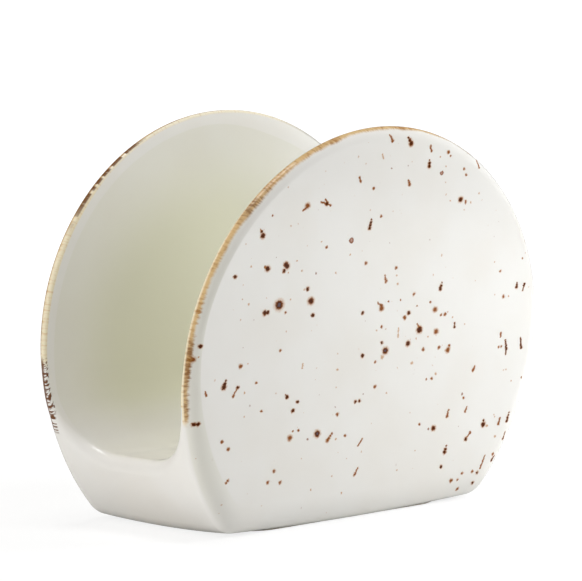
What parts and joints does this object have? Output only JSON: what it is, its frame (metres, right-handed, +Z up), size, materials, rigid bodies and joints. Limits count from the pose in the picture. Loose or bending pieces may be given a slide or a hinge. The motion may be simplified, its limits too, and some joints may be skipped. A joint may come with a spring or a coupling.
{
  "type": "napkin holder",
  "caption": "Free-standing napkin holder: oval porcelain leaves lean outwards from a low saddle and leave a U-shaped slot between them.",
  "frame": {"origin": "middle of the base, on the table", "axes": "+X along the leaves, +Y across the slot towards the back leaf, +Z up"},
  "size_m": [0.13, 0.055, 0.095],
  "materials": {
    "speckled_glaze": "glossy white glaze with iron specks on the outer faces and a brown brushed rim",
    "clear_glaze": "glossy white glaze without specks",
    "bare_foot": "unglazed, ground flat"
  },
  "bodies": {
    "root": {"front_leaf": "speckled_glaze", "back_leaf": "speckled_glaze", "saddle": "clear_glaze", "left_end_wall": "clear_glaze", "right_end_wall": "clear_glaze", "foot_ring": "bare_foot"}
  },
  "joints": []
}
